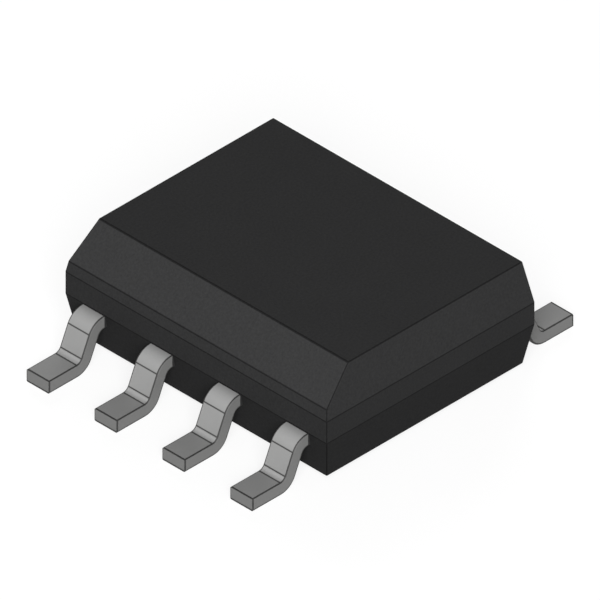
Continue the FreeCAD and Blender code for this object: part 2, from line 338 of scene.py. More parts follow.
# %% [markdown]
# ## The moulding compound
#
# The body is epoxy that is mostly filled with fine silica and coloured with carbon. It comes out of a mould
# that was spark-eroded, so its face is an even, fine-grained matt with hardly any shine. A flat black would
# look like a hole in the picture. We use a very dark grey, let it drift by a few hundredths, add a speckle
# for the silica, and put the mould's texture in the normal. The specular level is low because the tiny pits
# trap most of what a smooth plastic would reflect.
#
# The mould leaves its marks on the part. Each wall also has a grey of its own, more than soft light gives by
# itself, and this is painted shading: the lower half and the top are painted darkest, as if in shade, and the
# walls above the band and the bevel palest, as if lit. Silica can also run thin along a mould's edges, and
# that stands for the picture's dark lines: here every edge is a fine line of plain dark resin. Both are
# stronger than on most real chips.
# And the pin that pushes the part out leaves a smoother disc underneath. All of it could be painted in an
# image, but a formula stays sharp at any size.

# %% Moulding compound
# The band's grey is the compound's own. The other wall greys are painted shading: darker for the lower half
# and the top, paler for the walls above the band and for the bevel, by how the light falls on them.
BAND_GREY = 0.0285
UPPER_LIT_GREY = 0.0333
LOWER_SHADED_GREY = 0.0215
BEVEL_LIT_GREY = 0.0400
TOP_SHADED_GREY = 0.0255
BLUE_SHARE = 1.015
STEP = 0.002 * MM
EDGE_SHARE = 0.42
EDGE_SMOOTHER = 0.06
PIN_RADIUS = 0.45 * MM
PIN_RIM = 0.95 * PIN_RADIUS
PIN_LOW = UNDERSIDE + 0.03 * MM
PIN_HIGH = UNDERSIDE + 0.05 * MM
PIN_SMOOTHER = 0.2


# Painted shading: the grey changes from wall to wall by how the light falls on each, not by the compound.
def painted_wall_shading(tree, z, bevel):
    """Grey of each wall. It changes over a step, at a level or just under the plane where a wall starts."""
    tone = remap(tree, z, PARTING_LEVEL - STEP, PARTING_LEVEL + STEP, LOWER_SHADED_GREY, BAND_GREY)
    tone = remap(tree, z, BAND_TOP - STEP, BAND_TOP + STEP, tone, UPPER_LIT_GREY)
    tone = remap(tree, bevel, 1.5 * STEP, 0.25 * STEP, tone, BEVEL_LIT_GREY)
    return remap(tree, z, TOP - 2.0 * STEP, TOP - 0.5 * STEP, tone, TOP_SHADED_GREY)


def ejector_mark(tree, x, y, z):
    """Mask = 1 in the disc underneath."""
    flat = add(tree, "ShaderNodeCombineXYZ", X=x, Y=y)
    from_axis = add(tree, "ShaderNodeVectorMath", {"operation": "LENGTH"})
    feed(tree, from_axis.inputs[0], flat.outputs["Vector"])
    in_disc = remap(tree, from_axis.outputs["Value"], PIN_RADIUS, PIN_RIM)
    return calculate(tree, "MULTIPLY", in_disc, remap(tree, z, PIN_HIGH, PIN_LOW))


def mould_compound():
    material, tree, shader, place = principled("mould_compound", Specular_IOR_Level=0.02)
    parts = add(tree, "ShaderNodeSeparateXYZ", Vector=place)
    x, y, z = (parts.outputs[axis] for axis in "XYZ")
    side, end, bevel = depths_in_walls(tree, x, y, z)
    edges = body_edges(tree, x, z, side, end, bevel)
    drift = use(tree, PATCHY, Place=place, Patch_Size=0.9 * MM, Middle=1.0, Spread=0.06)
    speckle = use(tree, PATCHY, Place=place, Patch_Size=0.035 * MM, Middle=1.0, Spread=0.30)
    uneven = calculate(tree, "MULTIPLY", drift, speckle)
    # The wall greys are painted shading.
    tone = calculate(tree, "MULTIPLY", painted_wall_shading(tree, z, bevel), uneven)
    tone = calculate(tree, "MULTIPLY", tone, remap(tree, edges, 0.0, 1.0, 1.0, EDGE_SHARE))
    blue = calculate(tree, "MULTIPLY", tone, BLUE_SHARE)
    colour = add(tree, "ShaderNodeCombineColor", Red=tone, Green=tone, Blue=blue)
    matt = use(tree, PATCHY, Place=place, Patch_Size=0.6 * MM, Middle=0.66, Spread=0.05)
    rough = calculate(tree, "MULTIPLY_ADD", ejector_mark(tree, x, y, z), -PIN_SMOOTHER, matt)
    rough = calculate(tree, "MULTIPLY_ADD", edges, -EDGE_SMOOTHER, rough)
    fill(tree, shader, Base_Color=colour.outputs["Color"], Roughness=rough)
    pits = use(tree, GRAIN, Place=place, Grain_Size=0.030 * MM)
    relief(tree, shader, pits, depth=0.004 * MM, strength=0.5)
    return material


MOULD_COMPOUND = mould_compound()
report(MOULD_COMPOUND)

# %% [markdown]
# ## Places on a lead
#
# The leads are stamped from copper alloy strip, plated with matt tin and bent. Many things vary over a lead,
# and all of them come from a point's place on the chip alone, so they stay put when the chip is turned.
#
# The rows repeat at the pitch, so the distance from a lead's middle is the fraction of y over the pitch, less
# a half. The two rows mirror each other, so the distance out is the absolute value of x.

# %% Places on a lead
PITCH = 1.27 * MM
HALF_WIDTH = 0.21 * MM
THICKNESS = 0.20 * MM
LEG_ANGLE = radians(66)
INNER_RADIUS = 0.10 * MM
OUTER_RADIUS = INNER_RADIUS + THICKNESS
SHOULDER_X = BODY_HIGH[0] + 0.022 * MM
TOE_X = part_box("lead_8")[1][0]
LEG_TOP = PARTING_LEVEL - OUTER_RADIUS * (1 - cos(LEG_ANGLE))
LEG_FOOT = THICKNESS + INNER_RADIUS * (1 - cos(LEG_ANGLE))
LEG_X = SHOULDER_X + OUTER_RADIUS * sin(LEG_ANGLE) + (LEG_TOP - LEG_FOOT) / tan(LEG_ANGLE)
FOOT_X = LEG_X + INNER_RADIUS * sin(LEG_ANGLE)
WHOLE_PITCHES = 4.0


def lead_place(tree, place):
    """Four places: distance from the lead's middle line, x, distance out from the chip's middle, and z.

    Whole pitches are added to y first, so that the fraction is taken of a positive number.
    """
    parts = add(tree, "ShaderNodeSeparateXYZ", Vector=place)
    x, y, z = (parts.outputs[axis] for axis in "XYZ")
    steps = calculate(tree, "MULTIPLY_ADD", y, 1.0 / PITCH, WHOLE_PITCHES)
    off_middle = calculate(tree, "SUBTRACT", calculate(tree, "FRACT", steps), 0.5)
    across = calculate(tree, "MULTIPLY", calculate(tree, "ABSOLUTE", off_middle), PITCH)
    return across, x, calculate(tree, "ABSOLUTE", x), z


def past_wall(tree, out, z):
    """Distance of the point past the body's side wall, which leans in below the parting line."""
    below = largest(tree, calculate(tree, "SUBTRACT", PARTING_LEVEL, z), 0.0)
    wall = calculate(tree, "MULTIPLY_ADD", below, -DRAFT_SLOPE, BODY_HIGH[0])
    return calculate(tree, "SUBTRACT", out, wall)


print("leg in mm: from", round(LEG_TOP / MM, 3), "down to", round(LEG_FOOT / MM, 3))
print("foot in mm: from x", round(FOOT_X / MM, 3), "out to", round(TOE_X / MM, 3))

# %% [markdown]
# ## Where the faces of a lead meet
#
# The sides of a lead were stamped and its toe was sheared off, and those faces are duller and rougher than
# the rolled ones. Along the edges between them the plating is thin and has gone dark, and the line reaches
# furthest at the lower ones, where stamping leaves a burr. These lines are stronger than on most real leads,
# because the picture has a dark line there.
#
# An edge is where a point lies shallow under two faces at once. How deep it is inside the sides and the toe
# is a plain difference. For the rolled faces we need its height over the strip's curved middle layer. In a
# bend that is the distance from the bend's axis, less the radius of the middle layer. Beside the bend it is
# measured square to the straight metal. The formula for one bend thus covers the straights that it joins, and
# two of them, one for the shoulder and one for the foot, cover the lead.

# %% Edges of a lead
EDGE_BREAK = 0.012 * MM
EDGE_INNER = 0.9 * EDGE_BREAK
EDGE_OUTER = 1.6 * EDGE_BREAK
CUT_START = 0.3 * EDGE_BREAK
CUT_FULL = 0.1 * EDGE_BREAK
WIDE_SHARE = 0.7
NARROW_SHARE = 1.4
BURR_SHARE = 0.55
STRAIGHT_LOW = 0.3 * MM
STRAIGHT_HIGH = 0.4 * MM


def cut_faces(tree, across, out):
    """Mask of the stamped sides and the sheared toe, which starts just under those faces."""
    side = remap(tree, across, HALF_WIDTH - CUT_START, HALF_WIDTH - CUT_FULL)
    toe = remap(tree, out, TOE_X - CUT_START, TOE_X - CUT_FULL)
    return largest(tree, side, toe)


def weigh(tree, first, first_share, second, second_share):
    """first * first_share + second * second_share."""
    rest = calculate(tree, "MULTIPLY", second, second_share)
    return calculate(tree, "MULTIPLY_ADD", first, first_share, rest)


def height_round_bend(tree, out, z, axis_x, axis_z, way):
    """Height of the point over the strip's middle layer, in one bend and in the straight metal beside it.

    way is 1 for metal bent over the axis and -1 for metal bent under it. The point's distances along the
    bend's mirror line (middle) and off it (apart) are turned to the line where the bend ends. There
    radius = length(square, min(beyond, 0)), because past that line only the distance square to it counts.
    """
    turn = LEG_ANGLE / 2
    x = calculate(tree, "SUBTRACT", out, axis_x)
    z = calculate(tree, "SUBTRACT", z, axis_z)
    middle = weigh(tree, x, way * sin(turn), z, way * cos(turn))
    apart = calculate(tree, "ABSOLUTE", weigh(tree, x, cos(turn), z, -sin(turn)))
    square = weigh(tree, middle, cos(turn), apart, sin(turn))
    beyond = smallest(tree, weigh(tree, middle, -sin(turn), apart, cos(turn)), 0.0)
    radius = calculate(tree, "SQRT", weigh(tree, square, square, beyond, beyond))
    return calculate(tree, "MULTIPLY_ADD", radius, way, -way * (INNER_RADIUS + THICKNESS / 2))


def height_in_strip(tree, out, z):
    """Height of the point over the strip's middle layer, all along the lead.

    The formula changes from one bend to the other on the straight leg, where both give the same height.
    """
    upper = height_round_bend(tree, out, z, SHOULDER_X, PARTING_LEVEL - OUTER_RADIUS, 1.0)
    lower = height_round_bend(tree, out, z, FOOT_X, THICKNESS + INNER_RADIUS, -1.0)
    return remap(tree, z, STRAIGHT_LOW, STRAIGHT_HIGH, lower, upper)


def lead_edges(tree, across, out, z):
    """Mask of every edge, where the point is shallow under two of a side, a rolled face and the toe at once.

    The smaller the share that a depth counts for, the further the line reaches from the edge that way.
    """
    height = height_in_strip(tree, out, z)
    under_top = calculate(tree, "MULTIPLY_ADD", height, -NARROW_SHARE, NARROW_SHARE * THICKNESS / 2)
    over_bottom = calculate(tree, "MULTIPLY_ADD", height, BURR_SHARE, BURR_SHARE * THICKNESS / 2)
    in_face = smallest(tree, under_top, over_bottom)
    in_side = calculate(tree, "SUBTRACT", HALF_WIDTH, across)
    in_toe = calculate(tree, "MULTIPLY_ADD", out, -WIDE_SHARE, WIDE_SHARE * TOE_X)
    long_edge = largest(tree, calculate(tree, "MULTIPLY", in_side, WIDE_SHARE), in_face)
    side_or_face = smallest(tree, calculate(tree, "MULTIPLY", in_side, NARROW_SHARE), in_face)
    toe_edge = largest(tree, in_toe, side_or_face)
    return remap(tree, smallest(tree, long_edge, toe_edge), EDGE_INNER, EDGE_OUTER, 1.0, 0.0)


print("edge lines end at a weighed depth of", round(EDGE_OUTER / MM, 4), "mm")

# %% [markdown]
# ## What the bending tool leaves
#
# The bending tool rubs the bends brighter, and presses a line across the lead where each bend starts and ends.
# The bends are brighter than that rubbing alone would make them: the rest is a painted highlight, which keeps
# them bright where their curve would fall into shade, most of all in the fold above the foot. The lines are
# darker than on most real leads, again because the picture has them so. Each is a level or a distance out, so
# the `near` group makes them.

# %% Marks of the bending tool
HEEL_LINE = {"Level": FOOT_X + 0.003 * MM, "Reach": 0.023 * MM}
LEG_TOP_LINE = {"Level": LEG_TOP + 0.010 * MM, "Reach": 0.016 * MM}
LEG_FOOT_LINE = {"Level": LEG_FOOT - 0.004 * MM, "Reach": 0.0165 * MM}
BURNISH_AND_HIGHLIGHT_BEND = {"Level": 2.07 * MM, "Reach": 0.25 * MM}
RUB_END = 0.5 * MM
FOLD_LEVEL = THICKNESS + 0.01 * MM
FOLD_FADE = 0.004 * MM
FOLD_HIGHLIGHT_SHARE = 0.65
ROW_X = 1.0 * MM


def bend_lines(tree, out, z):
    """Mask of the lines across the lead at both ends of the leg, and at the heel of the foot."""
    on_foot = remap(tree, z, LEG_FOOT, FOLD_LEVEL)
    heel = calculate(tree, "MULTIPLY", use(tree, NEAR, Value=out, **HEEL_LINE), on_foot)
    leg_top = use(tree, NEAR, Value=z, **LEG_TOP_LINE)
    leg_foot = use(tree, NEAR, Value=z, **LEG_FOOT_LINE)
    return largest(tree, heel, leg_top, leg_foot)


def burnish_and_highlight_places(tree, x, out, z):
    """Mask of the upper bend, fading out along the leg, and of the fold above the foot.

    Both places are partly burnish from the tool and partly a painted highlight. The fold's painted highlight
    is on the -X row only, and the fold of the +X row stays matt, as it is in the picture. On a real chip the
    two rows would be alike.
    """
    over_bend = use(tree, NEAR, Value=out, **BURNISH_AND_HIGHLIGHT_BEND)
    upper = calculate(tree, "MULTIPLY", over_bend, remap(tree, z, RUB_END, PARTING_LEVEL))
    # Painted highlight in the fold: full on the -X row, none on the +X row.
    share = remap(tree, x, -ROW_X, ROW_X, FOLD_HIGHLIGHT_SHARE, 0.0)
    in_fold = remap(tree, z, LEG_FOOT, FOLD_LEVEL, 0.0, share)
    before_foot = remap(tree, out, FOOT_X + FOLD_FADE, FOOT_X - FOLD_FADE)
    return largest(tree, upper, calculate(tree, "MULTIPLY", in_fold, before_foot))


for name, line in (("heel", HEEL_LINE), ("leg top", LEG_TOP_LINE), ("leg foot", LEG_FOOT_LINE)):
    print(name, "line in mm:", round(line["Level"] / MM, 3), "reach", round(line["Reach"] / MM, 4))

# %% [markdown]
# ## Tin plating
#
# Matt tin is a soft grey metal with a fine crystal grain, so most of its light comes back scattered. That is
# why the metallic value is kept well under 1: it stands for the share of the light that the grains still
# reflect as a metal does. The strip was rolled along its length, which leaves faint long streaks.
#
# Where the lead leaves the body, resin has bled out round it and filled the nook under the band, so that the
# metal starts on the upright line that it has in the picture. The tin went on after moulding, so inside the
# body the lead is bare copper alloy, with a spot of silver at the tip where the wire is bonded.
#
# The colours are laid over each other like coats of paint, each through its own mask.

# %% Colours of the leads
ROLLED = ((0.315, 0.315, 0.312, 1.0), (0.345, 0.345, 0.342, 1.0))
# The bright grey of the bends is partly burnish from the bending tool and partly a painted highlight.
BURNISH_AND_HIGHLIGHT_GREY = (0.485, 0.485, 0.482, 1.0)
SHEARED = (0.209, 0.209, 0.206, 1.0)
THIN_PLATING = (0.052, 0.052, 0.051, 1.0)
PRESSED_LINE = (0.018, 0.018, 0.017, 1.0)
BLED_RESIN = (0.030, 0.030, 0.030, 1.0)
BARE_COPPER = (0.70, 0.40, 0.27, 1.0)
SILVER = (0.80, 0.79, 0.76, 1.0)
print("rubbed tin is", round(BURNISH_AND_HIGHLIGHT_GREY[0] / ROLLED[0][0], 2), "times as bright as the dullest rolled tin")

# %% Tin plating
PRESSED_STRENGTH = 0.95
BLEED_FULL = 0.8 * EDGE_BREAK
BLEED_END = 1.6 * EDGE_BREAK
SILVER_END = 1.58 * MM
SILVER_FADE = 0.01 * MM
PLATING_START = -0.002 * MM
ROLLED_METALLIC = 0.55
SHEARED_METALLIC = 0.15
SHEARED_ROUGHER = 0.10
RUBBED_SMOOTHER = 0.08
COPPER_ROUGHNESS = 0.38
STREAK_SHARE = 0.6
ALONG_LEAD = (12.0, 1.0, 12.0)


def tin_plating():
    material, tree, shader, place = principled("tin_plating", Specular_IOR_Level=0.2)
    across, x, out, z = lead_place(tree, place)
    outside = remap(tree, past_wall(tree, out, z), PLATING_START, 0.0)
    past_band = calculate(tree, "SUBTRACT", out, BODY_HIGH[0])
    bleed = remap(tree, past_band, BLEED_FULL, BLEED_END, 1.0, 0.0)
    sheared = cut_faces(tree, across, out)
    # Bends painted brighter: partly the tool's burnish, partly a painted highlight.
    burnish_and_highlight = burnish_and_highlight_places(tree, x, out, z)
    pressed = calculate(tree, "MULTIPLY", bend_lines(tree, out, z), PRESSED_STRENGTH)
    edges = lead_edges(tree, across, out, z)
    coats = [
        (burnish_and_highlight, BURNISH_AND_HIGHLIGHT_GREY),
        (pressed, PRESSED_LINE),
        (sheared, SHEARED),
        (edges, THIN_PLATING),
        (bleed, BLED_RESIN),
    ]
    colour = drifting_tint(tree, place, 0.35 * MM, ROLLED)
    for mask, coat in coats:
        colour = blend_colour(tree, mask, colour, coat)
    spot = remap(tree, out, SILVER_END - SILVER_FADE, SILVER_END + SILVER_FADE, 1.0, 0.0)
    inner = blend_colour(tree, spot, BARE_COPPER, SILVER)
    tin = remap(tree, sheared, 0.0, 1.0, ROLLED_METALLIC, SHEARED_METALLIC)
    satin = use(tree, PATCHY, Place=place, Patch_Size=0.25 * MM, Middle=0.60, Spread=0.05)
    rough = calculate(tree, "MULTIPLY_ADD", sheared, SHEARED_ROUGHER, satin)
    rough = calculate(tree, "MULTIPLY_ADD", burnish_and_highlight, -RUBBED_SMOOTHER, rough)
    fill(
        tree,
        shader,
        Base_Color=blend_colour(tree, outside, inner, colour),
        Metallic=remap(tree, outside, 0.0, 1.0, 1.0, tin),
        Roughness=remap(tree, outside, 0.0, 1.0, COPPER_ROUGHNESS, rough),
    )
    crystals = use(tree, GRAIN, Place=place, Grain_Size=0.022 * MM)
    streaks = use(tree, GRAIN, Place=place, Grain_Size=0.012 * MM, Stretch=ALONG_LEAD)
    height = calculate(tree, "MULTIPLY_ADD", streaks, STREAK_SHARE, crystals)
    relief(tree, shader, height, depth=0.0015 * MM, strength=0.5)
    return material


TIN_PLATING = tin_plating()
report(TIN_PLATING)

# %% [markdown]
# ## The pieces inside
#
# Nobody sees these in the picture, but a model that can be opened should have something to show. The paddle
# is bare rolled copper alloy. The die is silicon with wiring on its upper face and bright metal on its pads.
# Under it is adhesive filled with silver flakes. The wires are bright drawn gold.
#
# The die's wiring is the interesting one. Blocks of logic look like small tiles in slightly different hues,
# because thin layers of oxide over them reflect light as a soap film does. A Voronoi texture with straight
# (Chebychev) distances gives such tiles. The pads lie a little above the rest of the face, so their level
# alone picks them out.

# %% Copper, adhesive and gold
COPPER = ((0.62, 0.33, 0.21, 1.0), (0.74, 0.43, 0.29, 1.0))
ALONG_PADDLE = (1.0, 15.0, 1.0)
FLAKES = ((0.38, 0.38, 0.36, 1.0), (0.68, 0.68, 0.66, 1.0))
GOLD = ((0.90, 0.62, 0.22, 1.0), (0.98, 0.74, 0.34, 1.0))


def frame_copper():
    material, tree, shader, place = principled("frame_copper", Metallic=1.0)
    rough = use(tree, PATCHY, Place=place, Patch_Size=0.4 * MM, Middle=0.36, Spread=0.06)
    fill(tree, shader, Base_Color=drifting_tint(tree, place, 0.7 * MM, COPPER), Roughness=rough)
    rolled = use(tree, GRAIN, Place=place, Grain_Size=0.015 * MM, Stretch=ALONG_PADDLE)
    relief(tree, shader, rolled, depth=0.001 * MM, strength=0.35)
    return material


def silver_epoxy():
    material, tree, shader, place = principled("silver_epoxy", Metallic=0.5)
    flakes = use(tree, GRAIN, Place=place, Grain_Size=0.02 * MM)
    rough = use(tree, PATCHY, Place=place, Patch_Size=0.1 * MM, Middle=0.55, Spread=0.08)
    fill(tree, shader, Base_Color=blend_colour(tree, flakes, *FLAKES), Roughness=rough)
    relief(tree, shader, flakes, depth=0.003 * MM, strength=0.5)
    return material


def gold():
    material, tree, shader, place = principled("gold", Metallic=1.0)
    rough = use(tree, PATCHY, Place=place, Patch_Size=0.06 * MM, Middle=0.24, Spread=0.05)
    fill(tree, shader, Base_Color=drifting_tint(tree, place, 0.1 * MM, GOLD), Roughness=rough)
    drawn = use(tree, GRAIN, Place=place, Grain_Size=0.008 * MM)
    relief(tree, shader, drawn, depth=0.0005 * MM, strength=0.3)
    return material


FRAME_COPPER = frame_copper()
SILVER_EPOXY = silver_epoxy()
GOLD_FINISH = gold()
for finish in (FRAME_COPPER, SILVER_EPOXY, GOLD_FINISH):
    report(finish)

# %% Silicon
DIE_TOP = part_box("silicon_die")[1][2]
PAD_HEIGHT = 0.003 * MM
TILE_SIZE = 0.16 * MM
BARE_SILICON = (0.30, 0.31, 0.34, 1.0)
WIRING = ((0.16, 0.22, 0.34, 1.0), (0.34, 0.22, 0.36, 1.0))
PAD_METAL = (0.86, 0.87, 0.88, 1.0)


def silicon():
    material, tree, shader, place = principled("silicon", Metallic=0.8)
    level = add(tree, "ShaderNodeSeparateXYZ", Vector=place).outputs["Z"]
    on_face = remap(tree, level, DIE_TOP - 2 * PAD_HEIGHT, DIE_TOP - 1.2 * PAD_HEIGHT)
    on_pad = remap(tree, level, DIE_TOP - 0.6 * PAD_HEIGHT, DIE_TOP - 0.2 * PAD_HEIGHT)
    settings = {"distance": "CHEBYCHEV"}
    tiles = add(tree, "ShaderNodeTexVoronoi", settings, Vector=place, Scale=1.0 / TILE_SIZE, Randomness=0.8)
    hue = add(tree, "ShaderNodeSeparateColor", Color=tiles.outputs["Color"]).outputs["Red"]
    colour = blend_colour(tree, on_face, BARE_SILICON, blend_colour(tree, hue, *WIRING))
    colour = blend_colour(tree, on_pad, colour, PAD_METAL)
    rough = use(tree, PATCHY, Place=place, Patch_Size=0.3 * MM, Middle=0.20, Spread=0.04)
    fill(tree, shader, Base_Color=colour, Roughness=rough)
    return material


SILICON = silicon()
report(SILICON)

# %% [markdown]
# ## Dress the solids
#
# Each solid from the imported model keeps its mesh. Only the material in its slot changes, and the name of the
# node says which finish that is.

# %% Put the finishes on
FINISHES = {
    "mould_body": MOULD_COMPOUND,
    "lead": TIN_PLATING,
    "die_paddle": FRAME_COPPER,
    "die_attach": SILVER_EPOXY,
    "silicon_die": SILICON,
    "bond_wire": GOLD_FINISH,
}
for name, node in nodes.items():
    finish = FINISHES[name.rstrip("_12345678")]
    node.material_slots[0].material = finish
    print(f"{name:12s} {finish.name}")

# %% [markdown]
# ## Smooth bond wires
#
# A bonding tool melts the end of a gold wire into a ball, presses it on to a pad, lifts, moves over to the
# lead, and presses the wire flat there until it tears off. So one wire is a squashed ball, a thin neck, a
# round loop and a flat tail like a fish's.
#
# In the solid model the wire has eight flats and mitred bends. Here it becomes one smooth skin: a closed
# section is carried along the wire's path, and its two half-sizes change on the way. That is simpler than
# joining a sphere, a tube and a wedge, and it leaves no seams between them.
#
# The path lies in an upright plane through the pad and the stitch. With distance out as u and height as z, it
# is a line straight up, an arc that turns the wire over, a slope that leaves the arc as a tangent, and a
# short level stretch on the lead.

# %% The wire's path
WIRE_RADIUS = 0.015 * MM
BALL_RADIUS = 0.040 * MM
BALL_HEIGHT = 0.024 * MM
BALL_LEVELS = BALL_HEIGHT * np.array([0.0, 0.2, 0.5, 0.8, 1.0, 1.25])
NECK_START = 0.05 * MM
LOOP_RADIUS = 0.080 * MM
LOOP_RISE = 0.120 * MM
TAIL_LENGTH = 0.050 * MM
TAIL_HALF_HEIGHT = 0.005 * MM
NECK_POINTS, ARC_POINTS, SLOPE_POINTS, TAIL_POINTS = 4, 16, 14, 7


def wire_path(reach, pad_level, lead_level):
    """Points (u, z) along the centre line, as an array.

    The slope's angle is the angle of the line from the arc's centre to the tail, plus the angle whose sine is
    the arc's radius over that line's length, because the slope touches the arc.
    """
    centre = np.array([LOOP_RADIUS, pad_level + LOOP_RISE])
    tail = np.array([reach - TAIL_LENGTH, lead_level + TAIL_HALF_HEIGHT])
    span = tail - centre
    slope = np.arctan2(-span[1], span[0]) + np.arcsin(LOOP_RADIUS / np.hypot(*span))
    neck = np.linspace(pad_level + NECK_START, pad_level + LOOP_RISE, NECK_POINTS)[:-1]
    rise = np.concatenate([pad_level + BALL_LEVELS, neck])
    upward = np.stack([np.zeros_like(rise), rise], axis=1)
    turn = np.linspace(-np.pi / 2, slope, ARC_POINTS)
    over = centre + LOOP_RADIUS * np.stack([np.sin(turn), np.cos(turn)], axis=1)
    down = over[-1] + (tail - over[-1]) * np.linspace(0, 1, SLOPE_POINTS)[1:, None]
    flat = tail + np.array([TAIL_LENGTH, 0.0]) * np.linspace(0, 1, TAIL_POINTS)[1:, None]
    return np.concatenate([upward, over, down, flat])


print("points on a wire's path:", len(wire_path(1.0 * MM, 0.0, 0.0)))

# %% The wire's thickness
TAIL_HALF_WIDTH = 0.040 * MM
BALL_SIZES = BALL_RADIUS * np.array([0.80, 0.94, 1.0, 0.94, 0.80, WIRE_RADIUS / BALL_RADIUS])
TAIL_PLACES = TAIL_LENGTH * np.array([0.0, 0.5, 1.0, 1.6])
TAIL_WIDTHS = [0.6 * TAIL_HALF_WIDTH, TAIL_HALF_WIDTH, 0.7 * TAIL_HALF_WIDTH, WIRE_RADIUS]
TAIL_HEIGHTS = [0.5 * TAIL_HALF_HEIGHT, TAIL_HALF_HEIGHT, TAIL_HALF_HEIGHT, WIRE_RADIUS]


def wire_sizes(path, pad_level, reach):
    """Half-sizes of the section along the path: across the plane of the loop, and in that plane.

    Each is interpolated from a few known places. Over the ball the place is the height above the pad, and
    over the tail it is the distance from the tail's end.
    """
    near_pad = path[:, 0] < WIRE_RADIUS
    ball = np.interp(path[:, 1] - pad_level, BALL_LEVELS, BALL_SIZES)
    to_end = reach - path[:, 0]
    width = np.interp(to_end, TAIL_PLACES, TAIL_WIDTHS)
    height = np.interp(to_end, TAIL_PLACES, TAIL_HEIGHTS)
    return np.where(near_pad, ball, width), np.where(near_pad, ball, height)


for name, half_size in (("ball", BALL_RADIUS), ("wire", WIRE_RADIUS), ("tail", TAIL_HALF_WIDTH)):
    print(name, "across in mm:", round(2 * half_size / MM, 3))

# %% [markdown]
# ## From a path to a skin
#
# A skin needs a direction for its section at every point of the path. The tangent comes from the differences
# between neighbours. The loop is flat, so one direction of the section is the same all along, across the
# plane, and the other is the tangent turned by a right angle within the plane. There is no twist to fix.
#
# The points form a grid: one row for each point of the path and one column for each angle round the section.
# Faces join neighbours on the grid, and one face with many corners closes each end.

# %% Skins as grids
SIDES_ROUND = 16


def tube(path, half_width, half_height):
    """Grid of points: path point + width * sin(angle) across the plane + height * cos(angle) in the plane."""
    tangent = np.gradient(path, axis=0)
    tangent /= np.linalg.norm(tangent, axis=1, keepdims=True)
    in_plane = np.stack([-tangent[:, 1], tangent[:, 0]], axis=1)
    angle = np.arange(SIDES_ROUND) * 2 * np.pi / SIDES_ROUND
    along = path[:, None, :] + in_plane[:, None, :] * (half_height[:, None] * np.cos(angle))[..., None]
    across = half_width[:, None] * np.sin(angle)
    return np.stack([along[..., 0], across, along[..., 1]], axis=-1)


def skin(name, grid):
    """Mesh object from a grid of points that closes round its columns and is capped at both ends."""
    rows, columns, _ = grid.shape
    index = np.arange(rows * columns).reshape(rows, columns)
    right = np.roll(index, -1, axis=1)
    quads = np.stack([index[:-1], right[:-1], right[1:], index[1:]], axis=-1).reshape(-1, 4)
    caps = [index[0, ::-1].tolist(), index[-1].tolist()]
    mesh = bpy.data.meshes.new(name)
    mesh.from_pydata(grid.reshape(-1, 3).tolist(), [], quads.tolist() + caps)
    mesh.polygons.foreach_set("use_smooth", np.ones(len(mesh.polygons), dtype=bool))
    piece = bpy.data.objects.new(name, mesh)
    bpy.context.scene.collection.objects.link(piece)
    return piece


def turned(grid, start, end):
    """The grid with its +X axis turned towards end, in plan, and its Z axis moved over start."""
    direction = (end - start) / np.linalg.norm(end - start)
    x = start[0] + grid[..., 0] * direction[0] - grid[..., 1] * direction[1]
    y = start[1] + grid[..., 0] * direction[1] + grid[..., 1] * direction[0]
    return np.stack([x, y, grid[..., 2]], axis=-1)


print("sides round a wire:", SIDES_ROUND)

# %% [markdown]
# ## Where the wires go
#
# The die's box gives its edges, and the pads sit a little inside them. The leads' boxes give the tips that
# the wires reach for. We place the wires of one quarter of the chip, and the other three are its mirror
# images: signs on x and y are enough.

# %% Place the wires
PAD_INSET = 0.09 * MM
SIDE_PAD_Y = 0.30 * MM
END_PAD_X = 0.45 * MM
BOND_INSET = 0.12 * MM
ARM_BOND_INSET = 0.20 * MM
die_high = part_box("silicon_die")[1]
lead_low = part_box("lead_7")[0]
arm_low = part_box("lead_8")[0]
QUARTER = {
    "side": ((die_high[0] - PAD_INSET, SIDE_PAD_Y), (lead_low[0] + BOND_INSET, PITCH / 2)),
    "end": ((END_PAD_X, die_high[1] - PAD_INSET), (arm_low[0] + ARM_BOND_INSET, arm_low[1] + BOND_INSET)),
}
WIRES = {
    1: ("end", -1, 1), 2: ("side", -1, 1), 3: ("side", -1, -1), 4: ("end", -1, -1),
    5: ("end", 1, -1), 6: ("side", 1, -1), 7: ("side", 1, 1), 8: ("end", 1, 1),
}


def gold_wire(number, kind, x_sign, y_sign):
    """One smooth wire, which stands for the faceted one of the same number."""
    signs = np.array([x_sign, y_sign])
    pad, stitch = (np.array(place) * signs for place in QUARTER[kind])
    reach = np.linalg.norm(stitch - pad) + TAIL_LENGTH / 2
    path = wire_path(reach, DIE_TOP, PARTING_LEVEL)
    width, height = wire_sizes(path, DIE_TOP, reach)
    piece = skin(f"gold_wire_{number}", turned(tube(path, width, height), pad, stitch))
    piece.data.materials.append(FINISHES["bond_wire"])
    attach(piece, "root")
    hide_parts(f"bond_wire_{number}")
    return piece


for number, (kind, x_sign, y_sign) in WIRES.items():
    wire = gold_wire(number, kind, x_sign, y_sign)
    print(wire.name, "faces:", len(wire.data.polygons))

# %% [markdown]
# ## The floor and the world
#
# The picture wants a plain white ground with only a breath of shadow. Lighting a floor until it is white
# would flood the chip from below, and its lower walls would go pale. So the floor is a plain grey for the
# light that it scatters, and adds a glow that only the camera, reflections and things seen through glass pick
# up. Where the chip shades it, the grey part drops away and the shadow stays.
#
# The world works the same way. It lights the chip dimly and evenly. To the camera and in reflections it is
# white at the horizon and darker overhead, like a studio with white walls and a dark ceiling, which gives the
# metal something to reflect. The wall on the -X side is the tallest: the ceiling starts where the height of a
# direction, times one plus a share of its x, passes a limit.

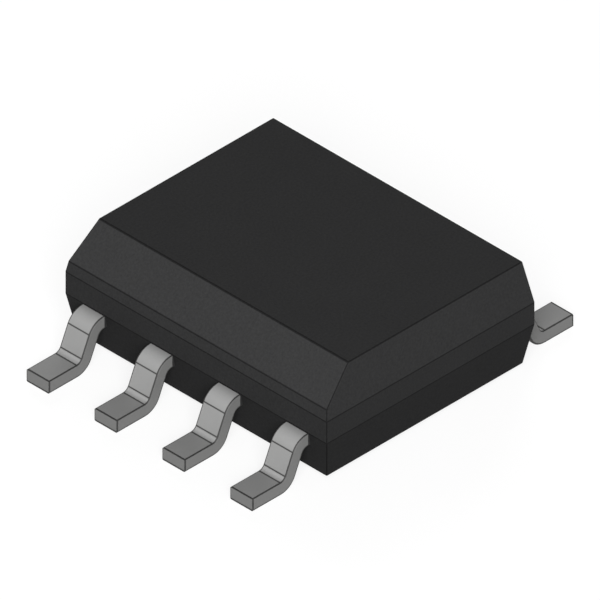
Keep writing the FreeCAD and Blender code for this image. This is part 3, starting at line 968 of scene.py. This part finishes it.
# %% Floor and world
FLOOR_REACH = 1.0
FLOOR_LEVEL = -0.001 * MM
FLOOR_CORNERS = ((-1, -1), (1, -1), (1, 1), (-1, 1))
FLOOR_GREY = 0.20
FLOOR_GLOW = 0.82
AMBIENT = 0.15
CEILING = 0.17
WALL_TOP = 0.20
CEILING_START = 0.62
TALLER_SIDE = 0.6


def shown(tree):
    """1 for rays from the camera, from a reflection or through glass, and 0 for scattered light."""
    path = add(tree, "ShaderNodeLightPath")
    rays = (path.outputs[f"Is {kind} Ray"] for kind in ("Camera", "Glossy", "Transmission"))
    return largest(tree, *rays)


def floor_finish():
    material = bpy.data.materials.new("floor_paper")
    material.use_nodes = True
    tree = material.node_tree
    tree.nodes.remove(tree.nodes["Principled BSDF"])
    paper = add(tree, "ShaderNodeBsdfDiffuse", Color=grey(FLOOR_GREY))
    strength = calculate(tree, "MULTIPLY", shown(tree), FLOOR_GLOW)
    glow = add(tree, "ShaderNodeEmission", Color=grey(1.0), Strength=strength)
    both = add(tree, "ShaderNodeAddShader")
    feed(tree, both.inputs[0], paper.outputs["BSDF"])
    feed(tree, both.inputs[1], glow.outputs["Emission"])
    fill(tree, tree.nodes["Material Output"], Surface=both.outputs["Shader"])
    return material


def lay_floor():
    mesh = bpy.data.meshes.new("floor")
    corners = [(x * FLOOR_REACH, y * FLOOR_REACH, FLOOR_LEVEL) for x, y in FLOOR_CORNERS]
    mesh.from_pydata(corners, [], [(0, 1, 2, 3)])
    floor = bpy.data.objects.new("floor", mesh)
    bpy.context.scene.collection.objects.link(floor)
    mesh.materials.append(floor_finish())


def studio_world():
    world = bpy.data.worlds.new("studio")
    world.use_nodes = True
    tree = world.node_tree
    direction = add(tree, "ShaderNodeTexCoord").outputs["Generated"]
    parts = add(tree, "ShaderNodeSeparateXYZ", Vector=direction)
    share = calculate(tree, "MULTIPLY_ADD", parts.outputs["X"], TALLER_SIDE, 1.0)
    height = calculate(tree, "MULTIPLY", parts.outputs["Z"], share)
    seen = remap(tree, height, WALL_TOP, CEILING_START, 1.0, CEILING)
    drop = calculate(tree, "SUBTRACT", seen, AMBIENT)
    strength = calculate(tree, "MULTIPLY_ADD", drop, shown(tree), AMBIENT)
    fill(tree, tree.nodes["Background"], Color=grey(1.0), Strength=strength)
    bpy.context.scene.world = world


lay_floor()
studio_world()
print("floor reach in m:", FLOOR_REACH, "ambient:", AMBIENT)

# %% [markdown]
# ## Two soft lamps
#
# The key light comes from over the camera's shoulder. So the bevel, which faces the camera most squarely, is
# the brightest part of the body, and the undercut walls are the darkest. A weaker lamp on the far side keeps
# the back from going black when the chip is turned. It stays out of reflections, because it stands just where
# the camera would see its glare on every level face. Both are large squares, far enough away that their
# strength hardly changes over the chip.
#
# A square lamp of power P at distance d lights a surface that faces it with P / (pi * d)^2 times what a
# white surface needs to look exactly white. We choose that factor and work out the power.

# %% Lamps
LAMP_DISTANCE = 0.20
LAMP_SIZE = 0.11
KEY = {"azimuth": radians(-135), "elevation": radians(33), "level": 1.35}
FILL = {"azimuth": radians(45), "elevation": radians(25), "level": 0.50}
VIEW_CENTRE = Vector((0.0, 0.0, 0.874 * MM))


def direction_of(azimuth, elevation):
    """Unit vector at an azimuth from +X towards +Y and an elevation above the floor."""
    level = np.cos(elevation)
    return Vector((level * np.cos(azimuth), level * np.sin(azimuth), np.sin(elevation)))


def aim(thing, target):
    """Turns a lamp or camera so that it looks at the target with its top up."""
    thing.rotation_euler = (target - thing.location).to_track_quat("-Z", "Y").to_euler()


def soft_lamp(name, azimuth, elevation, level):
    data = bpy.data.lights.new(name, "AREA")
    data.size = LAMP_SIZE
    data.energy = level * (np.pi * LAMP_DISTANCE) ** 2
    lamp = bpy.data.objects.new(name, data)
    bpy.context.scene.collection.objects.link(lamp)
    lamp.location = VIEW_CENTRE + LAMP_DISTANCE * direction_of(azimuth, elevation)
    aim(lamp, VIEW_CENTRE)
    return lamp


for name, settings in (("key", KEY), ("fill", FILL)):
    lamp = soft_lamp(name, **settings)
    lamp.visible_glossy = name == "key"
    print(name, "watts:", round(lamp.data.energy, 4))

# %% [markdown]
# ## The camera
#
# The picture is isometric: parallel rays, with the three axes at equal angles. That is an orthographic camera
# on the diagonal of a cube, at an elevation whose tangent is one over the square root of two. Its scale is
# the width of the picture in metres, here 600 pixels at 75.57 pixels to the millimetre.

# %% Camera
PIXELS_ACROSS = 600
PIXELS_PER_MM = 75.57
CAMERA_DISTANCE = 0.05
CAMERA_AZIMUTH = radians(-135)
CAMERA_ELEVATION = np.arctan(1 / np.sqrt(2))


def isometric_camera():
    data = bpy.data.cameras.new("isometric")
    data.type = "ORTHO"
    data.ortho_scale = PIXELS_ACROSS / PIXELS_PER_MM * MM
    data.clip_start = 0.001
    data.clip_end = 10.0
    camera = bpy.data.objects.new("isometric", data)
    bpy.context.scene.collection.objects.link(camera)
    camera.location = VIEW_CENTRE + CAMERA_DISTANCE * direction_of(CAMERA_AZIMUTH, CAMERA_ELEVATION)
    aim(camera, VIEW_CENTRE)
    bpy.context.scene.camera = camera
    return camera


camera = isometric_camera()
bpy.context.scene.view_settings.view_transform = "Standard"
print("picture width in mm:", round(camera.data.ortho_scale / MM, 3))
